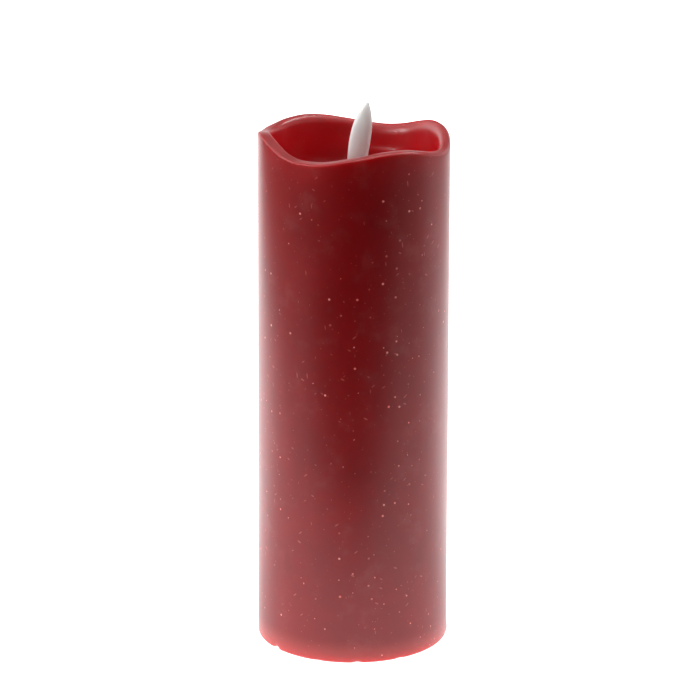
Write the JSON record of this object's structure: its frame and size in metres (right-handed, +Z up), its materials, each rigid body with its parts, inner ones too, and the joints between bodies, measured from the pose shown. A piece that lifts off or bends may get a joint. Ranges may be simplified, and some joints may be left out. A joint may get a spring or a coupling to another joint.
{
  "type": "flameless pillar candle",
  "caption": "Real-wax pillar LED candle with a wavy melted rim, a swinging flame leaf over a lit pool, and a battery base with a hinged door and slide switch.",
  "frame": {"origin": "centre of the foot's underside, on the floor", "axes": "+Z up the candle, -Y towards the viewer, who sees the flame's broad face leaning towards +X; +X to the viewer's right"},
  "size_m": [0.075, 0.075, 0.2194],
  "materials": {
    "wax": "real wax, semi-gloss, dark red, faintly translucent",
    "flame_plastic": "satin white, translucent",
    "cap_plastic": "satin red",
    "white_plastic": "satin white",
    "base_plastic": "fine-grained off-white",
    "black_plastic": "satin black",
    "steel": "bright plated",
    "nickel": "bright nickel plating",
    "copper": "enamelled copper",
    "circuit_board": "green solder mask",
    "lamp_lens": "clear warm epoxy",
    "capacitor_sleeve": "gloss sleeve",
    "cell_wrap": "gloss printed wrap, plain",
    "red_lead": "gloss insulation",
    "black_lead": "gloss insulation"
  },
  "bodies": {
    "candle_body": {"wax_shell": "wax", "pool_cap": "cap_plastic", "module_body": "white_plastic", "module_lid": "white_plastic", "base_housing": "base_plastic", "base_cover": "base_plastic", "coil_bobbin": "black_plastic", "control_chip": "black_plastic", "resistor_1": "black_plastic", "resistor_2": "black_plastic", "transistor": "black_plastic", "module_screw_1": "steel", "module_screw_2": "steel", "module_screw_3": "steel", "led_leg_long": "steel", "led_leg_short": "steel", "cover_screw_1": "steel", "cover_screw_2": "steel", "cover_screw_3": "steel", "cover_screw_4": "steel", "contact_negative": "steel", "contact_positive": "steel", "contact_bridge_front": "steel", "contact_bridge_rear": "steel", "contact_spring_1": "steel", "contact_spring_2": "steel", "contact_spring_3": "steel", "switch_can": "steel", "switch_screw_1": "steel", "switch_screw_2": "steel", "coil_winding": "copper", "driver_board": "circuit_board", "switch_board": "circuit_board", "led": "lamp_lens", "capacitor": "capacitor_sleeve", "cell_1": "cell_wrap", "cell_2": "cell_wrap", "cell_3": "cell_wrap", "lead_positive": "red_lead", "battery_lead": "red_lead", "lead_negative": "black_lead"},
    "flame_hanger": {"flame_wire": "steel"},
    "flame_leaf": {"flame": "flame_plastic", "flame_magnet": "nickel"},
    "switch": {"switch_knob": "black_plastic", "switch_slider": "black_plastic"},
    "door": {"battery_door": "base_plastic"}
  },
  "joints": [
    {"name": "flame_swing", "type": "hinge", "parent": "candle_body", "child": "flame_hanger", "pos_m": [0, 0, 0.1816], "axis": [0, 1, 0], "range_deg": [-20, 4]},
    {"name": "flame_nod", "type": "hinge", "parent": "flame_hanger", "child": "flame_leaf", "pos_m": [-0.00018, 0, 0.18031], "axis": [0.9903, 0, -0.1392], "range_deg": [-5, 5]},
    {"name": "switch_slide", "type": "slide", "parent": "candle_body", "child": "switch", "axis": [1, 0, 0], "range_m": [-0.002, 0.002]},
    {"name": "door_hinge", "type": "hinge", "parent": "candle_body", "child": "door", "pos_m": [-0.0255, 0, 0.0016], "axis": [0, 1, 0], "range_deg": [0, 60]}
  ]
}
